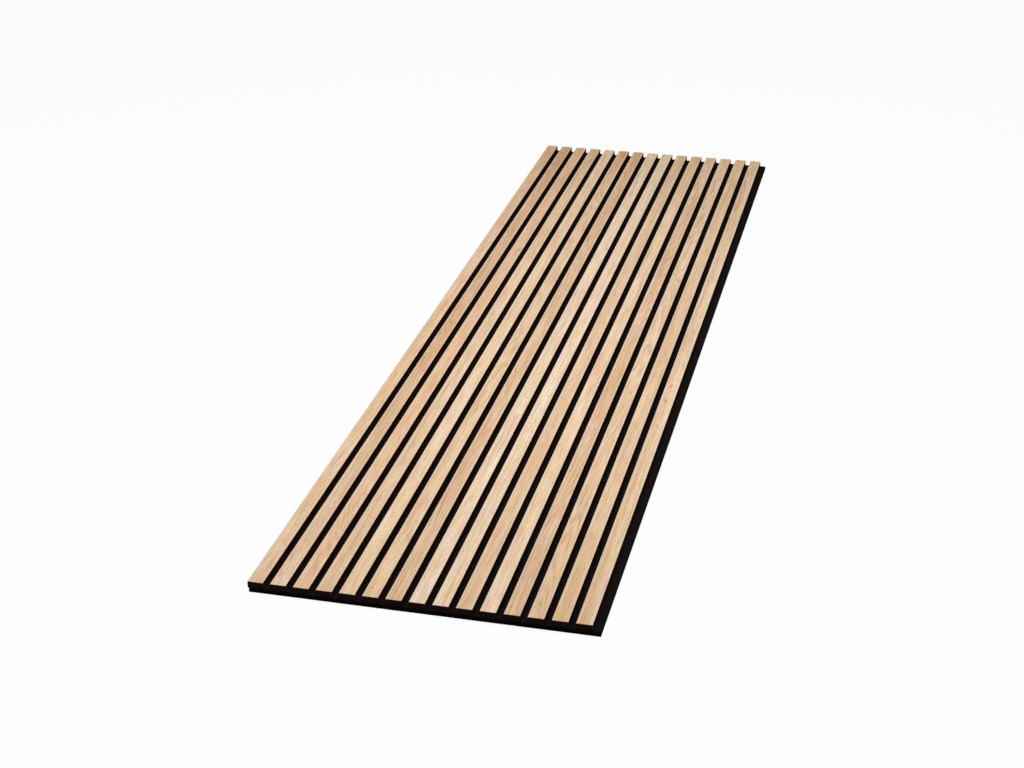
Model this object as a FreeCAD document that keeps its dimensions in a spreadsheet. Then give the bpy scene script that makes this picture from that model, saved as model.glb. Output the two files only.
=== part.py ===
import FreeCAD, Part
import os
import Sketcher

# Acoustic slat wall panel, lying on its felt back.
# Lengths are in millimetres and +Z points up, from the wall face to the oak face.
# The origin is on the wall face, in the middle of the panel's overall width and length.
# +X runs across the slats, towards the margin of bare felt, and +Y runs along the slats.
# The felt is one pitch wide for each slat, so that the felts of two panels meet edge to
# edge. It is moved a little towards +X, so the first slat overhangs that joint.

doc = FreeCAD.newDocument("acoustic_slat_panel")

# The driving dimensions: name, value, what it measures.
DIMENSIONS = [
    ("slat_count", 15, "slats side by side"),
    ("slat_width", 27, "width of a slat"),
    ("slat_gap", 13, "bare felt between two slats"),
    ("panel_length", 2400, "length of the slats and of the felt"),
    ("felt_thickness", 9, "polyester felt board"),
    ("felt_setback", 1.5, "the first slat overhangs the felt by this much"),
    ("felt_arris", 0.8, "rounding of the felt's cut edges"),
    ("core_thickness", 11.4, "black fibreboard core of a slat"),
    ("veneer_thickness", 0.6, "oak veneer on a slat's face"),
    ("veneer_arris", 0.3, "rounding of the veneer's long edges"),
    ("staple_crown", 12.8, "outer width of a staple"),
    ("staple_wire_width", 0.95, "the flat wire, across"),
    ("staple_wire_thickness", 0.65, "the flat wire, through"),
    ("staple_sink", 0.5, "a crown lies this deep in the felt's back"),
    ("staple_bite", 5.5, "the legs go this deep into a core"),
    ("staple_point", 0.5, "length of the chisel point of a leg"),
    ("staple_rows", 6, "staples along one slat"),
    ("staple_end_distance", 60, "from a slat's end to its first staple"),
]

# What follows from them, as the objects' expressions write it.
PITCH = "(sizes.slat_width + sizes.slat_gap)"
FELT_WIDTH = f"(sizes.slat_count * {PITCH})"
PANEL_WIDTH = f"({FELT_WIDTH} + sizes.felt_setback)"
FIRST_SLAT_X = f"(sizes.slat_width / 2 - {PANEL_WIDTH} / 2)"
FIRST_STAPLE_Y = "(sizes.staple_end_distance - sizes.panel_length / 2)"
ROW_SPACING = "((sizes.panel_length - 2 * sizes.staple_end_distance) / (sizes.staple_rows - 1))"
LEG_LENGTH = "(sizes.felt_thickness - sizes.staple_sink + sizes.staple_bite)"
LEG_OFFSET = "(sizes.staple_crown / 2 - sizes.staple_wire_thickness / 2)"

# How a sketch names its own origin point and its x axis.
ORIGIN_POINT = (-1, 1)
X_AXIS = -1


def make_sheet():
    """Write the driving dimensions to the spreadsheet, one row each."""
    sheet = doc.addObject("Spreadsheet::Sheet", "sizes")
    for row, (alias, value, meaning) in enumerate(DIMENSIONS, start=1):
        sheet.set(f"A{row}", alias)
        sheet.set(f"B{row}", str(value))
        sheet.set(f"C{row}", meaning)
        sheet.setAlias(f"B{row}", alias)
    doc.recompute()
    return sheet


def value(expression):
    """What an expression comes to with the numbers now in the sheet."""
    return float(sheet.evalExpression(expression))


def origin_feature(body, role):
    """One of the body's own planes or axes, found by its role."""
    return next(item for item in body.Origin.OriginFeatures if item.Role == role)


def new_body(label):
    body = doc.addObject("PartDesign::Body", label)
    body.Label = label
    return body


def place(body, x="0", y="0", z="0"):
    """Bind the body's place to the sheet."""
    body.setExpression("Placement.Base.x", x)
    body.setExpression("Placement.Base.y", y)
    body.setExpression("Placement.Base.z", z)


def new_sketch(body, name, plane, x="0", y="0", forward="0"):
    """An empty sketch parallel to one of the body's planes, its origin moved within it
    by x and y, and forward off it."""
    sketch = body.newObject("Sketcher::SketchObject", name)
    sketch.AttachmentSupport = (origin_feature(body, plane), "")
    sketch.MapMode = "FlatFace"
    sketch.setExpression("AttachmentOffset.Base.x", x)
    sketch.setExpression("AttachmentOffset.Base.y", y)
    sketch.setExpression("AttachmentOffset.Base.z", forward)
    return sketch


def draw_outline(sketch, points):
    """Close a chain of straight lines through the points and join their ends."""
    first = sketch.GeometryCount
    count = len(points)
    for index, (x, y) in enumerate(points):
        next_x, next_y = points[(index + 1) % count]
        start = FreeCAD.Vector(x, y, 0)
        end = FreeCAD.Vector(next_x, next_y, 0)
        sketch.addGeometry(Part.LineSegment(start, end), False)
    for index in range(count):
        after = first + (index + 1) % count
        sketch.addConstraint(Sketcher.Constraint("Coincident", first + index, 2, after, 1))
    return range(first, first + count)


def level(sketch, *lines):
    for line in lines:
        sketch.addConstraint(Sketcher.Constraint("Horizontal", line))


def upright(sketch, *lines):
    for line in lines:
        sketch.addConstraint(Sketcher.Constraint("Vertical", line))


def bind(sketch, name, direction, start, end, expression):
    """Add a named distance between two points and drive it from the sheet."""
    constraint = Sketcher.Constraint(direction, *start, *end, value(expression))
    index = sketch.addConstraint(constraint)
    sketch.renameConstraint(index, name)
    sketch.setExpression(f"Constraints.{name}", expression)


def draw_rectangle(sketch, name, width, length, centre_x=None):
    """A rectangle about the sketch's origin, or moved along x by centre_x."""
    middle = value(centre_x) if centre_x else 0
    left_x = middle - value(width) / 2
    right_x = middle + value(width) / 2
    half_length = value(length) / 2
    points = [
        (left_x, -half_length), (right_x, -half_length), (right_x, half_length), (left_x, half_length)
    ]
    bottom, right, top, left = draw_outline(sketch, points)
    level(sketch, bottom, top)
    upright(sketch, right, left)
    bind(sketch, f"{name}_width", "DistanceX", (bottom, 1), (bottom, 2), width)
    bind(sketch, f"{name}_length", "DistanceY", (right, 1), (right, 2), length)
    centre = ORIGIN_POINT
    if centre_x:
        centre = (sketch.addGeometry(Part.Point(FreeCAD.Vector(middle, 0, 0)), True), 1)
        sketch.addConstraint(Sketcher.Constraint("PointOnObject", *centre, X_AXIS))
        bind(sketch, f"{name}_centre", "DistanceX", ORIGIN_POINT, centre, centre_x)
    sketch.addConstraint(Sketcher.Constraint("Symmetric", bottom, 1, top, 1, *centre))


def draw_staple_outline(sketch, outer_leg, ceiling, inner_leg):
    """A staple seen along the panel, standing on its crown with its legs up.

    outer_leg and inner_leg are the lengths of a leg's two sides, and ceiling is
    the height of the crown's inner face. Legs of unequal sides end in a point.
    """
    wire = "sizes.staple_wire_thickness"
    outer_x = value("sizes.staple_crown") / 2
    inner_x = outer_x - value(wire)
    outer_top = value(outer_leg)
    under = value(ceiling)
    inner_top = under + value(inner_leg)
    points = [
        (-outer_x, 0), (outer_x, 0), (outer_x, outer_top), (inner_x, inner_top),
        (inner_x, under), (-inner_x, under), (-inner_x, inner_top), (-outer_x, outer_top),
    ]
    lines = draw_outline(sketch, points)
    crown, right, right_tip, right_inner, under_crown, left_inner, left_tip, left = lines
    level(sketch, crown, under_crown)
    upright(sketch, right, right_inner, left_inner, left)
    sketch.addConstraint(Sketcher.Constraint("Symmetric", crown, 1, crown, 2, *ORIGIN_POINT))
    sketch.addConstraint(Sketcher.Constraint("Equal", right, left))
    sketch.addConstraint(Sketcher.Constraint("Equal", right_inner, left_inner))
    bind(sketch, "crown_width", "DistanceX", (crown, 1), (crown, 2), "sizes.staple_crown")
    bind(sketch, "ceiling", "DistanceY", (crown, 2), (under_crown, 1), ceiling)
    bind(sketch, "outer_leg", "DistanceY", (right, 1), (right, 2), outer_leg)
    bind(sketch, "inner_leg", "DistanceY", (right_inner, 2), (right_inner, 1), inner_leg)
    bind(sketch, "right_leg", "DistanceX", (right_tip, 2), (right_tip, 1), wire)
    bind(sketch, "left_leg", "DistanceX", (left_tip, 2), (left_tip, 1), wire)


def draw_leg_slits(sketch):
    """The plan of a staple's two legs."""
    for name, side in (("left_leg", "-"), ("right_leg", "")):
        draw_rectangle(
            sketch, name, "sizes.staple_wire_thickness", "sizes.staple_wire_width",
            centre_x=f"{side}{LEG_OFFSET}",
        )


def pad(body, sketch, name, height):
    feature = body.newObject("PartDesign::Pad", name)
    feature.Profile = sketch
    feature.setExpression("Length", height)
    return feature


def pocket(body, sketch, name, depth):
    """Cut upwards from the sketch, into the solid that stands on it."""
    feature = body.newObject("PartDesign::Pocket", name)
    feature.Profile = sketch
    feature.Reversed = True
    feature.setExpression("Length", depth)
    return feature


def repeat(body, features, name, along, count, spacing):
    """Repeat features along one of the body's axes."""
    pattern = body.newObject("PartDesign::LinearPattern", name)
    pattern.Originals = features
    pattern.Direction = (origin_feature(body, along), [""])
    pattern.Mode = "Spacing"
    pattern.setExpression("Occurrences", count)
    pattern.setExpression("Offset", spacing)
    return pattern


def repeat_both_ways(body, features, name):
    """Repeat features over all slats and over all rows of staples."""
    across = repeat(body, [], f"{name}_across", "X_Axis", "sizes.slat_count", PITCH)
    along = repeat(body, [], f"{name}_along", "Y_Axis", "sizes.staple_rows", ROW_SPACING)
    grid = body.newObject("PartDesign::MultiTransform", name)
    grid.Originals = features
    grid.Transformations = [across, along]
    return grid


def round_edges(body, base, name, radius, wanted):
    """Fillet the edges of base that the wanted function picks."""
    base.recompute(True)
    picked = [f"Edge{i}" for i, edge in enumerate(base.Shape.Edges, start=1) if wanted(edge)]
    fillet = body.newObject("PartDesign::Fillet", name)
    fillet.Base = (base, picked)
    fillet.setExpression("Radius", radius)
    return fillet


def is_level(edge):
    """Whether the whole edge lies at one height."""
    return edge.BoundBox.ZLength < 1e-6


def make_felt():
    """The felt board, with a slot for each staple: a dent for its crown, slits for its legs."""
    body = new_body("acoustic_felt")
    outline = new_sketch(body, "felt_outline", "XY_Plane", x="sizes.felt_setback / 2")
    draw_rectangle(outline, "felt", FELT_WIDTH, "sizes.panel_length")
    board = pad(body, outline, "felt_board", "sizes.felt_thickness")
    round_edges(body, board, "felt_edges", "sizes.felt_arris", is_level)

    slot_outline = new_sketch(
        body, "staple_slot_outline", "XZ_Plane", x=FIRST_SLAT_X, forward=f"-{FIRST_STAPLE_Y}"
    )
    draw_staple_outline(
        slot_outline,
        outer_leg="sizes.felt_thickness",
        ceiling="sizes.staple_sink + sizes.staple_wire_thickness",
        inner_leg="sizes.felt_thickness - sizes.staple_sink - sizes.staple_wire_thickness",
    )
    slot = pocket(body, slot_outline, "staple_slot", "sizes.staple_wire_width")
    slot.Midplane = True
    body.Tip = repeat_both_ways(body, [slot], "slot_grid")
    return body


def make_core(number):
    """The fibreboard core of one slat, with blind slits for its staples' legs."""
    body = new_body(f"slat_core_{number:02d}")
    outline = new_sketch(body, "core_outline", "XY_Plane")
    draw_rectangle(outline, "core", "sizes.slat_width", "sizes.panel_length")
    pad(body, outline, "core_strip", "sizes.core_thickness")

    slit_sketch = new_sketch(body, "leg_outlines", "XY_Plane", y=FIRST_STAPLE_Y)
    draw_leg_slits(slit_sketch)
    slits = pocket(body, slit_sketch, "leg_slits", "sizes.staple_bite")
    body.Tip = repeat(body, [slits], "slit_row", "Y_Axis", "sizes.staple_rows", ROW_SPACING)
    place(body, x=f"{FIRST_SLAT_X} + {number - 1} * {PITCH}", z="sizes.felt_thickness")
    return body


def make_veneer(number):
    """The oak veneer on one slat's face, its two long edges eased by sanding."""
    body = new_body(f"oak_veneer_{number:02d}")
    outline = new_sketch(body, "veneer_outline", "XY_Plane")
    draw_rectangle(outline, "veneer", "sizes.slat_width", "sizes.panel_length")
    sheet = pad(body, outline, "veneer_sheet", "sizes.veneer_thickness")

    def is_long_top_edge(edge):
        box = edge.BoundBox
        return box.ZMin > 1e-6 and box.YLength > 1e-6

    body.Tip = round_edges(body, sheet, "eased_edges", "sizes.veneer_arris", is_long_top_edge)
    place(
        body,
        x=f"{FIRST_SLAT_X} + {number - 1} * {PITCH}",
        z="sizes.felt_thickness + sizes.core_thickness",
    )
    return body


def make_staples():
    """Flat wire staples, driven from the back through the felt into the cores."""
    body = new_body("backing_staples")
    body.AllowCompound = True
    outline = new_sketch(body, "staple_outline", "XZ_Plane")
    draw_staple_outline(
        outline,
        outer_leg=LEG_LENGTH,
        ceiling="sizes.staple_wire_thickness",
        inner_leg=f"{LEG_LENGTH} - sizes.staple_wire_thickness - sizes.staple_point",
    )
    staple = pad(body, outline, "staple", "sizes.staple_wire_width")
    staple.Midplane = True
    body.Tip = repeat_both_ways(body, [staple], "staple_grid")
    place(body, x=FIRST_SLAT_X, y=FIRST_STAPLE_Y, z="sizes.staple_sink")
    return body


def check(parts):
    """Stop if an object failed, a sketch is loose, or a part's shape is empty or broken."""
    for item in doc.Objects:
        if "Invalid" in item.State or "Error" in item.State:
            raise RuntimeError(f"{item.Label} failed: {item.State}")
        if item.isDerivedFrom("Sketcher::SketchObject") and not item.FullyConstrained:
            raise RuntimeError(f"{item.Label} is not fully constrained")
    for part in parts:
        shape = part.Shape
        if shape.isNull() or not shape.isValid() or not shape.Solids:
            raise RuntimeError(f"{part.Label} has no valid solid")


sheet = make_sheet()
slat_numbers = range(1, int(sheet.slat_count) + 1)

parts = [make_felt(), make_staples()]
parts += [make_core(number) for number in slat_numbers]
parts += [make_veneer(number) for number in slat_numbers]
doc.recompute()
check(parts)

os.makedirs("parts", exist_ok=True)
for part in parts:
    shape = part.Shape
    shape.exportStep(f"parts/{part.Label}.step")
    print(f"{part.Label}: {len(shape.Solids)} solids, {shape.Volume:.0f} cubic mm")
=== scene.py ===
import bpy
import math
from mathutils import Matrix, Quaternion, Vector


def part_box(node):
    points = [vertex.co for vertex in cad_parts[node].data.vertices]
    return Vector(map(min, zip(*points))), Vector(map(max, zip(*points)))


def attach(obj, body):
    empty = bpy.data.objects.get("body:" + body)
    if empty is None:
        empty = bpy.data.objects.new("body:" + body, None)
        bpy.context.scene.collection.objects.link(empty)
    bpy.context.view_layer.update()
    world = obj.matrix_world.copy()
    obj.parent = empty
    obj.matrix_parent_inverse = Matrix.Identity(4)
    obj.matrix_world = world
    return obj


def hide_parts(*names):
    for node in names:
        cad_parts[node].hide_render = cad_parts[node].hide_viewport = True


# The looks of an acoustic slat wall panel: oak-faced slats with black sides on a
# black felt board, lying on its back on a white studio floor.
# Lengths named _MM are millimetres; the scene itself is in metres, in the frame's axes.

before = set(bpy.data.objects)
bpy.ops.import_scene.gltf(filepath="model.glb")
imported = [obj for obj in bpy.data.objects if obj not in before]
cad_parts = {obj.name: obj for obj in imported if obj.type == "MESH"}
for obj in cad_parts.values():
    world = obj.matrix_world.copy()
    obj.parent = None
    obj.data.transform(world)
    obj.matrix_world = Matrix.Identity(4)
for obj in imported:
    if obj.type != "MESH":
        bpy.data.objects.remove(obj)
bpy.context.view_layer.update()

MM = 0.001
MM_IN_METRE = 1000
WHITE = "#ffffff"

SLAT_COUNT = sum(name.startswith("slat_core_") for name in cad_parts)


# Tools for materials

def hex_colour(text):
    """An sRGB colour written as hex, as linear red, green, blue and alpha."""
    values = [int(text[i:i + 2], 16) / 255 for i in (1, 3, 5)]
    linear = [v / 12.92 if v <= 0.04045 else ((v + 0.055) / 1.055) ** 2.4 for v in values]
    return (*linear, 1.0)


def new_material(name):
    material = bpy.data.materials.new(name)
    material.use_nodes = True
    material.node_tree.nodes.clear()
    return material


def add(owner, kind, inputs=None, **settings):
    """Add a node to a material or world; an input gets a value or another node's output."""
    tree = owner.node_tree
    node = tree.nodes.new(kind)
    for name, setting in settings.items():
        setattr(node, name, setting)
    for name, given in (inputs or {}).items():
        if isinstance(given, bpy.types.NodeSocket):
            tree.links.new(given, node.inputs[name])
        else:
            node.inputs[name].default_value = given
    return node


def set_stops(ramp, stops):
    """Give a colour ramp its (position, hex colour) stops."""
    elements = ramp.color_ramp.elements
    while len(elements) < len(stops):
        elements.new(position=0.5)
    for element, (position, colour) in zip(elements, stops):
        element.position = position
        element.color = hex_colour(colour)


def finish_surface(material, colour, height, relief_mm, roughness, specular, metallic=0.0, sheen=0.0):
    """Close a material with its shader, its relief and its output."""
    bump = add(material, "ShaderNodeBump", {"Height": height, "Strength": 1.0, "Distance": relief_mm * MM})
    shader = add(material, "ShaderNodeBsdfPrincipled", {
        "Base Color": colour,
        "Roughness": roughness,
        "Specular IOR Level": specular,
        "Metallic": metallic,
        "Sheen Weight": sheen,
        "Normal": bump.outputs["Normal"],
    })
    add(material, "ShaderNodeOutputMaterial", {"Surface": shader.outputs["BSDF"]})
    return material


def painted_shade_by_facing(material, axis, turned_away, facing):
    """A value that goes from one to the other as the surface turns to face along an axis; it paints shade
    by how a face is turned.
    """
    normal = add(material, "ShaderNodeNewGeometry").outputs["Normal"]
    part = add(material, "ShaderNodeSeparateXYZ", {"Vector": normal}).outputs[axis]
    share = add(material, "ShaderNodeMath", {0: part}, operation="ABSOLUTE").outputs["Value"]
    return add(material, "ShaderNodeMapRange", {
        "Value": share, "To Min": turned_away, "To Max": facing,
    }).outputs["Result"]


def dress(node_name, material):
    """Give a carried-over solid its material."""
    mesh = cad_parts[node_name].data
    mesh.materials.clear()
    mesh.materials.append(material)


# Oak veneer, sliced from a log, sanded and given a matt lacquer.
# What the eye gets: pale straw to warm tan strips, each with its own tone, that drift
# between straw, rosy and tan along their length and get deeper or paler towards some
# ends, the far ends deeper mostly as painted shade; fine growth rings cut as straight,
# slanting or arched lines, by where the log's pith lay; russet flames and short dark pores
# along the grain; and a paler, duller band along the arrises, a painted highlight. Real
# pores are about a quarter of a millimetre wide. They are drawn more than twice as wide,
# as they wouldn't show otherwise.

OAK_TONES = {
    "palest": "#e9d7bf",
    "pale": "#e7d1b4",
    "peach": "#e2cbae",
    "straw": "#e1c7a8",
    "rosy": "#e1c2a2",
    "tan": "#dbbe9f",
    "tawny": "#d5b696",
}
STRAW_DRIFT = "#fdfaec"
ROSY_DRIFT = "#fff1f6"
TAN_DRIFT = "#fdf4e5"
BROWN_STREAK = "#b88d66"
RUSSET_FLAME = "#c4926a"
OPEN_PORE = "#96704c"
KNOT_EYE = "#a8875e"
# The colour of the painted highlight along the slats' arrises.
ARRIS_PAINTED_HIGHLIGHT = "#d7c5b3"

DRIFT_SHADES = [(0.34, STRAW_DRIFT), (0.50, WHITE), (0.66, ROSY_DRIFT)]

# The shades within one growth ring, from its porous start to its smooth end.
RING_SHADES = [
    (0.0, "#dccbb8"),
    (0.14, "#e6d8c6"),
    (0.40, "#fdf9f4"),
    (0.85, WHITE),
    (1.0, "#e6d9c9"),
]

# One veneer leaf for each slat, from the first slat to the last: its tone; how far the
# pith lay to the side of the slat and below the cut, in mm; the lean of the log
# against the slat, in degrees; how strongly its rings show; and how much deeper its
# tone gets towards its near end, its far end and its left side. The far end's deepening
# is mostly painted shade, where the light falls off.
# The ends' tone starts END_REACH_MM from each end.
VENEER_LEAVES = [
    ("straw", 44, 30, 0.9, 0.9, 0.0, 0.42, 0.04),
    ("tawny", -30, 34, 1.6, 1.0, -0.45, 0.25, 0.0),
    ("rosy", 26, 48, -3.0, 0.8, 0.0, 0.28, 0.0),
    ("peach", 80, 26, 0.5, 1.0, 0.15, 0.38, 0.0),
    ("pale", -95, 24, 0.4, 0.9, 0.1, 0.08, 0.0),
    ("straw", 24, 32, 1.2, 0.7, 0.05, 0.62, 0.0),
    ("tan", -34, 40, 1.5, 1.1, 0.0, 0.25, 0.0),
    ("palest", 66, 40, 0.8, 0.6, 0.0, 0.0, 0.0),
    ("palest", 90, 28, 0.4, 0.7, 0.1, 0.1, 0.0),
    ("straw", -70, 30, 0.6, 0.9, 0.18, 0.28, 0.0),
    ("pale", 84, 30, 0.5, 0.7, -0.15, 0.48, 0.0),
    ("tan", 34, 40, 1.9, 0.9, 0.05, -0.12, 0.0),
    ("peach", 5, 22, 1.4, 0.9, 0.28, 0.12, 0.0),
    ("straw", -88, 26, 0.4, 1.0, 0.15, 0.05, 0.0),
    ("peach", -40, 30, 0.7, 1.1, 0.15, 0.18, 0.14),
]
END_REACH_MM = 450

# Patterns drawn out along the grain by noise: width and length in mm, how many finer
# layers the noise has, and a seed that keeps one pattern apart from another. A step from
# leaf to leaf keeps the leaves apart.
GRAIN_PATTERNS = {
    "sway": (36, 420, 2.0, 0),
    "wobble": (5, 80, 2.0, 1),
    "drift": (18, 75, 3.0, 2),
    "depth": (24, 340, 3.0, 3),
    "browning": (6, 380, 3.0, 4),
    "grain": (1.6, 150, 3.0, 5),
    "pores": (0.6, 8, 1.0, 6),
    "rings shown": (10, 110, 2.0, 7),
    "flames": (3.2, 44, 2.0, 8),
    "tanning": (16, 70, 3.0, 9),
}
LEAF_SEED_STEP = 7.3

# How strongly a pattern shows: two values of its noise, and the strength at each.
PATTERN_STRENGTHS = {
    "depth": (0.3, 0.7, 1.21, 0.83),
    "browning": (0.54, 0.78, 0.0, 0.5),
    "grain": (0.3, 0.7, 0.76, 1.17),
    "pores": (0.58, 0.68, 0.0, 0.9),
    "rings shown": (0.38, 0.62, 0.25, 0.85),
    "flames": (0.55, 0.74, 0.0, 0.5),
    "tanning": (0.36, 0.66, 0.0, 1.0),
}

# Growth rings: their width, and how far they sway and wobble across and into the leaf.
# At scale 1 the wave texture turns by 20 radians in each unit of length.
GROWTH_RING_MM = 2.7
SWAY_MM = (12, 0, 26)
WOBBLE_MM = (1.2, 0, 1.2)
WAVE_RADIANS = 20

# Pores crowd in the first quarter of a ring and are few from its middle on: two places
# in the ring, and the pores' strength at each.
PORES_BY_RING = (0.25, 0.5, 1.0, 0.3)

# Small knots and their faint marks: the slat's number, the place across and along it in
# mm, and how dark each is. A knot fades out between two shares of its width and length.
KNOTS = [
    (15, -1.8, 928, 0.9),
    (15, 0.4, 905, 0.35),
    (15, -2.1, 855, 0.85),
    (15, -1.0, 740, 0.4),
]
KNOT_WIDTH_MM = 4.6
KNOT_LENGTH_MM = 15
KNOT_FULL_TO = 0.25
KNOT_GONE_AT = 0.9

# The painted highlight along the arrises: its width and strength.
ARRIS_HIGHLIGHT_WIDTH_MM = 4.5
ARRIS_HIGHLIGHT_STRENGTH = 0.65


def oak_veneer(number):
    leaf = VENEER_LEAVES[number - 1]
    tone, pith_side, pith_depth, lean, figure, near_depth, far_painted_shade, side_depth = leaf
    low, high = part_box(f"oak_veneer_{number:02d}")
    middle_mm = (low.x + high.x) / 2 * MM_IN_METRE
    half_width_mm = (high.x - low.x) / 2 * MM_IN_METRE
    length_mm = (high.y - low.y) * MM_IN_METRE
    material = new_material(f"sliced_oak_{number:02d}")

    # Millimetres from the middle of the slat's near end.
    place = add(material, "ShaderNodeMapping", {
        "Vector": add(material, "ShaderNodeTexCoord").outputs["Object"],
        "Location": (-middle_mm, -low.y * MM_IN_METRE, -high.z * MM_IN_METRE),
        "Scale": (MM_IN_METRE, MM_IN_METRE, MM_IN_METRE),
    }).outputs["Vector"]
    axes = add(material, "ShaderNodeSeparateXYZ", {"Vector": place}).outputs
    across, along = axes["X"], axes["Y"]

    def streaks(pattern):
        """A pattern's noise, drawn out along the grain."""
        width_mm, drawn_mm, layers, seed = GRAIN_PATTERNS[pattern]
        stretched = add(material, "ShaderNodeMapping", {
            "Vector": place, "Scale": (1 / width_mm, 1 / drawn_mm, 1 / width_mm),
        })
        return add(material, "ShaderNodeTexNoise", {
            "Vector": stretched.outputs["Vector"],
            "W": number * LEAF_SEED_STEP + seed,
            "Scale": 1.0,
            "Detail": layers,
        }, noise_dimensions="4D")

    def spread(value, start, end, at_start, at_end):
        """A value that goes from one to another as the given one goes from start to end."""
        return add(material, "ShaderNodeMapRange", {
            "Value": value, "From Min": start, "From Max": end, "To Min": at_start, "To Max": at_end,
        }).outputs["Result"]

    def strength(pattern, share=1.0):
        """How strongly a pattern shows, place by place."""
        start, end, at_start, at_end = PATTERN_STRENGTHS[pattern]
        return spread(streaks(pattern).outputs["Fac"], start, end, at_start * share, at_end * share)

    def combine(first, second, operation):
        return add(material, "ShaderNodeMath", {0: first, 1: second}, operation=operation).outputs["Value"]

    def mix(share, first, second, blend="MIX"):
        return add(material, "ShaderNodeMixRGB", {
            "Fac": share, "Color1": first, "Color2": second,
        }, blend_type=blend).outputs["Color"]

    def shift(pattern, reach_mm, start):
        """A place moved aside by a pattern's noise."""
        return add(material, "ShaderNodeVectorMath", {
            0: streaks(pattern).outputs["Color"], 1: reach_mm, 2: start,
        }, operation="MULTIPLY_ADD").outputs["Vector"]

    # The log's rings, swaying a few millimetres as the tree grew.
    log = add(material, "ShaderNodeMapping", {
        "Vector": shift("wobble", WOBBLE_MM, shift("sway", SWAY_MM, place)),
        "Location": (-pith_side, 0, pith_depth),
        "Rotation": (math.radians(lean), 0, 0),
    })
    rings = add(material, "ShaderNodeTexWave", {
        "Vector": log.outputs["Vector"], "Scale": 2 * math.pi / WAVE_RADIANS / GROWTH_RING_MM,
    }, wave_type="RINGS", rings_direction="Y", wave_profile="SAW").outputs["Fac"]

    # Tone: the leaf's own colour, drifting between straw and rosy and into tan, paler or
    # deeper along the slat, at its ends and to its sides, with brown streaks. The deepening
    # towards the far end is mostly painted shade.
    drift = add(material, "ShaderNodeValToRGB", {"Fac": streaks("drift").outputs["Fac"]})
    set_stops(drift, DRIFT_SHADES)
    tinted = mix(1.0, hex_colour(OAK_TONES[tone]), drift.outputs["Color"], "MULTIPLY")
    tanned = mix(strength("tanning"), tinted, hex_colour(TAN_DRIFT), "MULTIPLY")
    near_tone = spread(along, 0, END_REACH_MM, near_depth, 0)
    # Painted shade: the tone deepens towards the far end, where the light falls off.
    far_painted_shade_tone = spread(along, length_mm - END_REACH_MM, length_mm, 0, far_painted_shade)
    side_tone = spread(across, -half_width_mm / 2, half_width_mm / 2, side_depth, -side_depth)
    edge_tone = combine(combine(near_tone, far_painted_shade_tone, "ADD"), side_tone, "ADD")
    tone_depth = combine(strength("depth"), edge_tone, "ADD")
    shaded = add(material, "ShaderNodeGamma", {"Color": tanned, "Gamma": tone_depth}).outputs["Color"]
    streaked = mix(strength("browning", figure), shaded, hex_colour(BROWN_STREAK))

    # Each ring starts with a porous, darker line and ends in smooth, pale wood. The lines
    # come and go along the slat, with russet flames between them.
    ring_shade = add(material, "ShaderNodeValToRGB", {"Fac": rings})
    set_stops(ring_shade, RING_SHADES)
    ringed = mix(strength("rings shown", figure), streaked, ring_shade.outputs["Color"], "MULTIPLY")
    flamed = mix(strength("flames"), ringed, hex_colour(RUSSET_FLAME))
    grain = strength("grain")
    grained = mix(1.0, flamed, grain, "MULTIPLY")

    # Pores are cut open as short dark lines, most of them in the start of a ring.
    pores = combine(spread(rings, *PORES_BY_RING), strength("pores"), "MULTIPLY")
    figured = mix(pores, grained, hex_colour(OPEN_PORE))

    # A knot is a brown eye, drawn out along the grain.
    for slat, across_mm, along_mm, darkness in KNOTS:
        if slat != number:
            continue
        eye = add(material, "ShaderNodeMapping", {
            "Vector": place,
            "Location": (-across_mm / KNOT_WIDTH_MM, -along_mm / KNOT_LENGTH_MM, 0),
            "Scale": (1 / KNOT_WIDTH_MM, 1 / KNOT_LENGTH_MM, 0),
        })
        reach = add(material, "ShaderNodeVectorMath", {0: eye.outputs["Vector"]}, operation="LENGTH")
        knot = spread(reach.outputs["Value"], KNOT_FULL_TO, KNOT_GONE_AT, darkness, 0.0)
        figured = mix(knot, figured, hex_colour(KNOT_EYE))

    # A paler, duller band along the arrises is a painted highlight.
    off_middle = add(material, "ShaderNodeMath", {0: across}, operation="ABSOLUTE").outputs["Value"]
    arris_highlight = spread(off_middle, half_width_mm - ARRIS_HIGHLIGHT_WIDTH_MM, half_width_mm, 0.0, ARRIS_HIGHLIGHT_STRENGTH)
    coloured = mix(arris_highlight, figured, hex_colour(ARRIS_PAINTED_HIGHLIGHT))
    height = combine(grain, pores, "SUBTRACT")
    return finish_surface(material, coloured, height, relief_mm=0.05, roughness=0.6, specular=0.22)


# Black through-dyed fibreboard, moulded along the slat and sawn across it.
# What the eye gets: a near-black brown, dull, with fine pressed fibres. The ends, which
# face along the slat, are turned a deeper, plainer black by painted shade. The fibres are
# drawn far thicker than real ones, so that they show close up.

PRESSED_FIBRE_MM = 0.9
BLOTCH_MM = 14
FIBREBOARD_SHADES = [(0.10, "#27140a"), (0.25, "#391d11"), (0.42, "#4e2d1c")]
# The painted shade on the slats' ends, and how strongly it shows.
SAWN_END_PAINTED_SHADE = "#191110"
SAWN_END_SHADE_STRENGTH = 0.85


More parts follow.
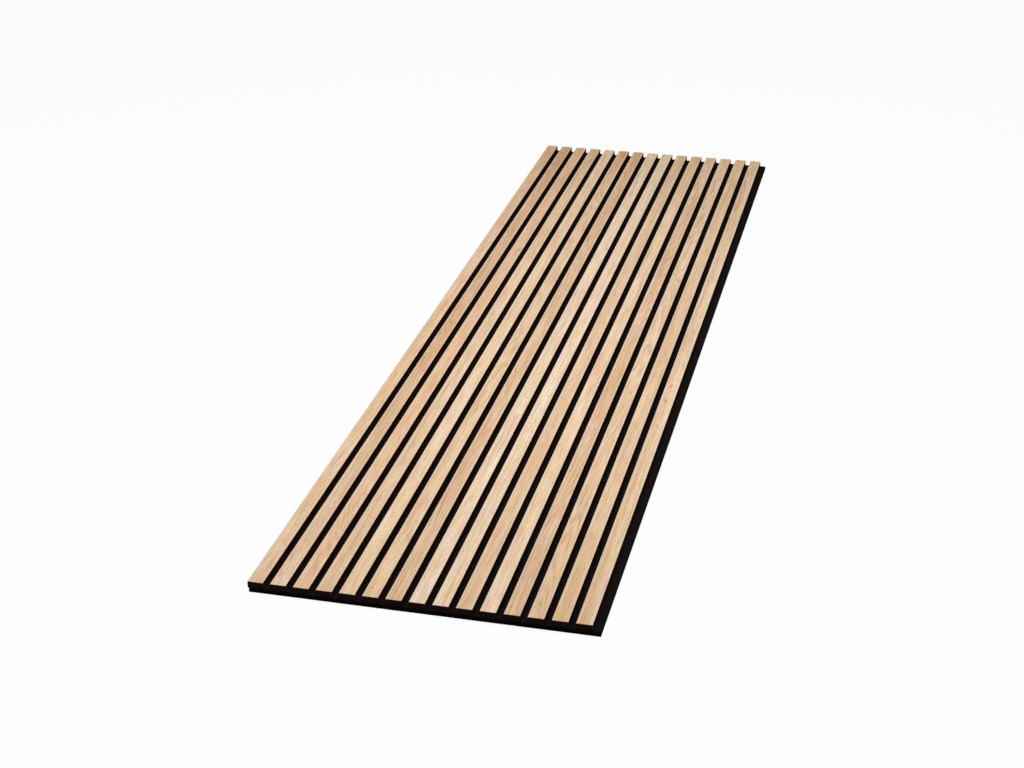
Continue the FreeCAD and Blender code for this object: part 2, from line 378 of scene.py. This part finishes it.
def black_fibreboard():
    material = new_material("black_fibreboard")
    place = add(material, "ShaderNodeTexCoord").outputs["Object"]
    fibres = add(material, "ShaderNodeTexNoise", {
        "Vector": place, "Scale": MM_IN_METRE / PRESSED_FIBRE_MM, "Detail": 4.0,
    })
    blotches = add(material, "ShaderNodeTexNoise", {
        "Vector": place, "Scale": MM_IN_METRE / BLOTCH_MM, "Detail": 2.0,
    })
    mixed = add(material, "ShaderNodeMath", {
        0: fibres.outputs["Fac"], 1: blotches.outputs["Fac"],
    }, operation="MULTIPLY")
    shade = add(material, "ShaderNodeValToRGB", {"Fac": mixed.outputs["Value"]})
    set_stops(shade, FIBREBOARD_SHADES)
    # Painted shade: faces that look along the slat, its ends, are mixed towards a deeper, plainer black.
    board_colour = add(material, "ShaderNodeMixRGB", {
        "Fac": painted_shade_by_facing(material, "Y", 0.0, SAWN_END_SHADE_STRENGTH),
        "Color1": shade.outputs["Color"],
        "Color2": hex_colour(SAWN_END_PAINTED_SHADE),
    }).outputs["Color"]
    return finish_surface(
        material, board_colour, fibres.outputs["Fac"], relief_mm=0.06, roughness=0.85, specular=0.0,
    )


# Needled polyester felt, dyed black and cut with a knife.
# What the eye gets: a soft, lightless black with a fine nap and stray fibres over it and a
# faint bloom where it is seen edge-on. The upright cut edges are darkened further by
# painted shade. Real fibres are finer than a hair; nap and strays are drawn as
# coarse as they need to be to show.

STRAY_FIBRE_MM = 2.2
STRAY_FIBRE_CURL = 1.6
NAP_MM = 0.8
TUFT_MM = 5
NAP_SHARE = 0.5
FELT_SHADES = [(0.25, "#121010"), (0.5, "#1e1a1a"), (0.85, "#343030")]
# Painted shade on the upright cut edges: their colour is multiplied by this.
CUT_EDGE_PAINTED_SHADE = 0.5


def needled_felt():
    material = new_material("needled_polyester_felt")
    place = add(material, "ShaderNodeTexCoord").outputs["Object"]
    strays = add(material, "ShaderNodeTexNoise", {
        "Vector": place,
        "Scale": MM_IN_METRE / STRAY_FIBRE_MM,
        "Detail": 5.0,
        "Distortion": STRAY_FIBRE_CURL,
    }, noise_type="RIDGED_MULTIFRACTAL")
    nap = add(material, "ShaderNodeTexNoise", {
        "Vector": place, "Scale": MM_IN_METRE / NAP_MM, "Detail": 3.0,
    })
    tufts = add(material, "ShaderNodeTexNoise", {
        "Vector": place, "Scale": MM_IN_METRE / TUFT_MM, "Detail": 3.0,
    })
    nap_part = add(material, "ShaderNodeMath", {
        0: nap.outputs["Fac"], 1: NAP_SHARE,
    }, operation="MULTIPLY")
    pile = add(material, "ShaderNodeMath", {
        0: strays.outputs["Fac"], 1: 1 - NAP_SHARE, 2: nap_part.outputs["Value"],
    }, operation="MULTIPLY_ADD").outputs["Value"]
    shade = add(material, "ShaderNodeValToRGB", {"Fac": pile})
    set_stops(shade, FELT_SHADES)
    # Painted shade: the upright cut edges are darkened by how they face.
    felt_colour = add(material, "ShaderNodeMixRGB", {
        "Fac": 1.0,
        "Color1": shade.outputs["Color"],
        "Color2": painted_shade_by_facing(material, "Z", CUT_EDGE_PAINTED_SHADE, 1.0),
    }, blend_type="MULTIPLY").outputs["Color"]
    relief = add(material, "ShaderNodeMath", {0: pile, 1: tufts.outputs["Fac"]}, operation="ADD")
    return finish_surface(
        material, felt_colour, relief.outputs["Value"],
        relief_mm=0.3, roughness=0.95, specular=0.0, sheen=0.012,
    )


# Galvanised steel staple wire, drawn flat.
# What the eye gets: grey zinc with a soft shine and fine lines along the staple's crown.

WIRE_LINE_MM = 0.15
WIRE_LINE_LENGTH_MM = 4
WIRE_SHADES = [(0.3, "#9da1a6"), (0.7, "#c4c7ca")]


def galvanised_wire():
    material = new_material("galvanised_wire")
    lines = add(material, "ShaderNodeMapping", {
        "Vector": add(material, "ShaderNodeTexCoord").outputs["Object"],
        "Scale": (
            MM_IN_METRE / WIRE_LINE_LENGTH_MM,
            MM_IN_METRE / WIRE_LINE_MM,
            MM_IN_METRE / WIRE_LINE_MM,
        ),
    })
    drawn = add(material, "ShaderNodeTexNoise", {
        "Vector": lines.outputs["Vector"], "Scale": 1.0, "Detail": 2.0,
    }).outputs["Fac"]
    shade = add(material, "ShaderNodeValToRGB", {"Fac": drawn})
    set_stops(shade, WIRE_SHADES)
    return finish_surface(
        material, shade.outputs["Color"], drawn,
        relief_mm=0.02, roughness=0.38, specular=0.5, metallic=1.0,
    )


# The felt board as a soft piece, in the space of its solid. Its cut edges are rounded
# and its bare surfaces lie a little unevenly. It is smooth only where the slats press.
# An edge takes at most 100 cuts at a time, so the cuts along the board come in two rounds.

FELT_ROUNDING_MM = 0.9
FELT_ROUNDING_STEPS = 3
FELT_RELIEF_MM = 0.3
FELT_LUMP_MM = 7
FELT_COLUMNS_IN_GROOVE = 3
FELT_CUTS_ALONG = (99, 1)

# What lies this little past a slat's side still counts as under the slat.
SLAT_SIDE_SLACK_MM = 0.01

# A staple as the solids have it.
STAPLE_ROWS = 6
STAPLE_END_DISTANCE_MM = 60
STAPLE_CROWN_MM = 12.8
STAPLE_WIRE_WIDTH_MM = 0.95
STAPLE_WIRE_THICKNESS_MM = 0.65
STAPLE_SINK_MM = 0.5

# A cutter reaches this far past the faces that it opens.
CUT_BEYOND_MM = 0.5

# A face points up where its normal's Z is more than this.
FACING_UP = 0.5


def start_block(name, low, high):
    """A block between two corners, selected and open for editing."""
    bpy.ops.object.select_all(action="DESELECT")
    bpy.ops.mesh.primitive_cube_add(size=1)
    block = bpy.context.object
    block.name = name
    bpy.ops.object.mode_set(mode="EDIT")
    bpy.ops.transform.resize(value=high - low)
    bpy.ops.transform.translate(value=(low + high) / 2)
    return block


def cut_across(x):
    """Cut all faces of the open block along a plane across X."""
    bpy.ops.mesh.select_all(action="SELECT")
    bpy.ops.mesh.bisect(plane_co=(x, 0, 0), plane_no=(1, 0, 0))


def select_edges(block, wanted):
    """Select the block's edges whose two end points pass the test."""
    bpy.ops.object.mode_set(mode="OBJECT")
    points = block.data.vertices
    for edge in block.data.edges:
        edge.select = wanted(*(points[index].co for index in edge.vertices))
    bpy.ops.object.mode_set(mode="EDIT")


def select_faces(block, wanted):
    """Select the block's faces whose middle and normal pass the test."""
    bpy.ops.object.mode_set(mode="OBJECT")
    for face in block.data.polygons:
        face.select = wanted(face.center, face.normal)
    bpy.ops.object.mode_set(mode="EDIT")


def finish_block(block, *modifiers):
    """Leave edit mode and apply modifiers, each given as its kind and its settings."""
    bpy.ops.object.mode_set(mode="OBJECT")
    for kind, settings in modifiers:
        modifier = block.modifiers.new(kind, kind)
        for name, setting in settings.items():
            setattr(modifier, name, setting)
        bpy.ops.object.modifier_apply(modifier=modifier.name)


def staple_slots(bottom_z, top_z):
    """The space that all staples and their ways in take up in the felt, as one cutter."""
    first_low, first_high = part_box("slat_core_01")
    second_low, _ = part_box("slat_core_02")
    middle_x = (first_low.x + first_high.x) / 2
    first_y = first_low.y + STAPLE_END_DISTANCE_MM * MM
    half = Vector((STAPLE_CROWN_MM, STAPLE_WIRE_WIDTH_MM, 0)) * MM / 2
    centre = Vector((middle_x, first_y, 0))
    under_crown = bottom_z + (STAPLE_SINK_MM + STAPLE_WIRE_THICKNESS_MM) * MM
    cutter = start_block(
        "staple_slots",
        centre - half + Vector((0, 0, bottom_z - CUT_BEYOND_MM * MM)),
        centre + half + Vector((0, 0, under_crown)),
    )

    # The legs are drawn up from both ends of the crown.
    inner = half.x - STAPLE_WIRE_THICKNESS_MM * MM
    cut_across(middle_x - inner)
    cut_across(middle_x + inner)
    bpy.ops.mesh.select_mode(type="FACE")
    select_faces(cutter, lambda at, normal: normal.z > FACING_UP and abs(at.x - middle_x) > inner)
    reach = top_z + CUT_BEYOND_MM * MM - under_crown
    bpy.ops.mesh.extrude_region_move(TRANSFORM_OT_translate={"value": (0, 0, reach)})

    length = first_high.y - first_low.y
    step_y = (length - 2 * STAPLE_END_DISTANCE_MM * MM) / (STAPLE_ROWS - 1)
    steps = (
        (SLAT_COUNT, (second_low.x - first_low.x, 0, 0)),
        (STAPLE_ROWS, (0, step_y, 0)),
    )
    finish_block(cutter, *(
        ("ARRAY", {
            "count": count, "use_relative_offset": False,
            "use_constant_offset": True, "constant_offset_displace": step,
        })
        for count, step in steps
    ))
    return cutter


def felt_board():
    low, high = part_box("acoustic_felt")
    board = start_block("needled_felt_board", low, high)
    slat_sides = []
    for number in range(1, SLAT_COUNT + 1):
        slat_low, slat_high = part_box(f"slat_core_{number:02d}")
        slat_sides.append((slat_low.x, slat_high.x))
    groove_ends = [slat_low for slat_low, _ in slat_sides[1:]] + [high.x]
    for (slat_low, slat_high), groove_end in zip(slat_sides, groove_ends):
        groove = groove_end - slat_high
        if slat_low > low.x:
            cut_across(slat_low)
        cut_across((slat_low + slat_high) / 2)
        for column in range(FELT_COLUMNS_IN_GROOVE):
            cut_across(slat_high + groove * column / FELT_COLUMNS_IN_GROOVE)
    bpy.ops.mesh.select_mode(type="EDGE")
    for cuts in FELT_CUTS_ALONG:
        select_edges(board, lambda a, b: abs(a.y - b.y) > abs(a.x - b.x) + abs(a.z - b.z))
        bpy.ops.mesh.subdivide(number_cuts=cuts)
    finish_block(board, ("BEVEL", {
        "width": FELT_ROUNDING_MM * MM, "segments": FELT_ROUNDING_STEPS, "limit_method": "ANGLE",
    }))

    # The relief works everywhere but on the top face under the slats. It only sinks the
    # surface, so the board stays in its solid's space.
    bare = board.vertex_groups.new(name="bare")
    pressed_z = high.z - FELT_ROUNDING_MM * MM / 2
    slack = SLAT_SIDE_SLACK_MM * MM
    for point in board.data.vertices:
        under_slat = any(a - slack <= point.co.x <= b + slack for a, b in slat_sides)
        if not (point.co.z > pressed_z and under_slat):
            bare.add([point.index], 1.0, "REPLACE")
    lumps = bpy.data.textures.new("felt_lumps", "CLOUDS")
    lumps.noise_scale = FELT_LUMP_MM * MM
    cutter = staple_slots(low.z, high.z)
    bpy.ops.object.select_all(action="DESELECT")
    board.select_set(True)
    bpy.context.view_layer.objects.active = board
    finish_block(
        board,
        ("DISPLACE", {
            "texture": lumps, "texture_coords": "LOCAL", "vertex_group": "bare",
            "mid_level": 1.0, "strength": FELT_RELIEF_MM * MM,
        }),
        ("BOOLEAN", {"operation": "DIFFERENCE", "object": cutter, "solver": "EXACT"}),
    )
    bpy.data.objects.remove(cutter)
    board.data.materials.clear()
    board.data.materials.append(needled_felt())
    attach(board, "root")
    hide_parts("acoustic_felt")


def dress_panel():
    fibreboard = black_fibreboard()
    for number in range(1, SLAT_COUNT + 1):
        dress(f"oak_veneer_{number:02d}", oak_veneer(number))
        dress(f"slat_core_{number:02d}", fibreboard)
    dress("backing_staples", galvanised_wire())


# Studio: a pale floor, a sky that is brighter above than at its edge, and a soft lamp
# over the panel. The floor and the sky look white to the camera.

FLOOR_SIZE = 40
FLOOR_DROP_MM = 0.2
FLOOR_PAINT = "#e6e6e6"
FLOOR_WHITENING = 0.94
SKY_AT_EDGE = 0.15
SKY_ABOVE = 0.52
LAMP_PLACE = (0.0, -0.3, 2.5)
LAMP_SIZE = 1.6
LAMP_POWER = 53


def seen_by_eye(owner):
    """One for rays from the camera, also by way of shiny or clear surfaces; nought for light."""
    path = add(owner, "ShaderNodeLightPath").outputs
    by_way = add(owner, "ShaderNodeMath", {
        0: path["Is Glossy Ray"], 1: path["Is Transmission Ray"],
    }, operation="MAXIMUM").outputs["Value"]
    return add(owner, "ShaderNodeMath", {
        0: path["Is Camera Ray"], 1: by_way,
    }, operation="MAXIMUM").outputs["Value"]


def white_floor():
    """Painted pale and shaded by the panel, and whitened only where it is seen."""
    material = new_material("white_studio_floor")
    paint = add(material, "ShaderNodeBsdfDiffuse", {"Color": hex_colour(FLOOR_PAINT)})
    glow = add(material, "ShaderNodeEmission", {"Color": hex_colour(WHITE), "Strength": 1.0})
    whitened = add(material, "ShaderNodeMath", {
        0: seen_by_eye(material), 1: FLOOR_WHITENING,
    }, operation="MULTIPLY")
    surface = add(material, "ShaderNodeMixShader", {
        0: whitened.outputs["Value"], 1: paint.outputs["BSDF"], 2: glow.outputs["Emission"],
    })
    add(material, "ShaderNodeOutputMaterial", {"Surface": surface.outputs["Shader"]})
    bpy.ops.mesh.primitive_plane_add(size=FLOOR_SIZE, location=(0, 0, -FLOOR_DROP_MM * MM))
    floor = bpy.context.object
    floor.name = "studio_floor"
    floor.data.materials.append(material)


def white_world():
    """White where it is seen, dimmer and graded where it lights."""
    world = bpy.data.worlds.new("studio_world")
    bpy.context.scene.world = world
    world.use_nodes = True
    world.node_tree.nodes.clear()
    direction = add(world, "ShaderNodeTexCoord").outputs["Generated"]
    height = add(world, "ShaderNodeSeparateXYZ", {"Vector": direction}).outputs["Z"]
    glow = add(world, "ShaderNodeMapRange", {
        "Value": height, "To Min": SKY_AT_EDGE, "To Max": SKY_ABOVE,
    }).outputs["Result"]
    strength = add(world, "ShaderNodeMix", {
        "Factor": seen_by_eye(world), "A": glow, "B": 1.0,
    }).outputs["Result"]
    background = add(world, "ShaderNodeBackground", {
        "Color": hex_colour(WHITE), "Strength": strength,
    })
    add(world, "ShaderNodeOutputWorld", {"Surface": background.outputs["Background"]})


def overhead_lamp():
    """A square soft lamp, which shines straight down."""
    lamp = bpy.data.lights.new("overhead_lamp", "AREA")
    lamp.size = LAMP_SIZE
    lamp.energy = LAMP_POWER
    lamp_object = bpy.data.objects.new("overhead_lamp", lamp)
    bpy.context.scene.collection.objects.link(lamp_object)
    lamp_object.location = LAMP_PLACE


# The camera's place and aim, found from the slats' edges in the photograph.

CAMERA_MM = (751.1, -3814.3, 1690.4)
AIM_MM = (-56.5, -295.8, 0)
CAMERA_ROLL = 0.31
LENS_MM = 67.96
SENSOR_MM = 36


def photo_camera():
    camera = bpy.data.cameras.new("photo_camera")
    camera.lens = LENS_MM
    camera.sensor_width = SENSOR_MM
    camera_object = bpy.data.objects.new("photo_camera", camera)
    bpy.context.scene.collection.objects.link(camera_object)
    eye = Vector(CAMERA_MM) * MM
    aim = Vector(AIM_MM) * MM
    camera_object.location = eye
    camera_object.rotation_mode = "QUATERNION"
    level = (aim - eye).to_track_quat("-Z", "Y")
    camera_object.rotation_quaternion = level @ Quaternion((0, 0, 1), math.radians(CAMERA_ROLL))
    bpy.context.scene.camera = camera_object


dress_panel()
felt_board()
white_floor()
white_world()
overhead_lamp()
photo_camera()
bpy.context.scene.view_settings.view_transform = "Standard"
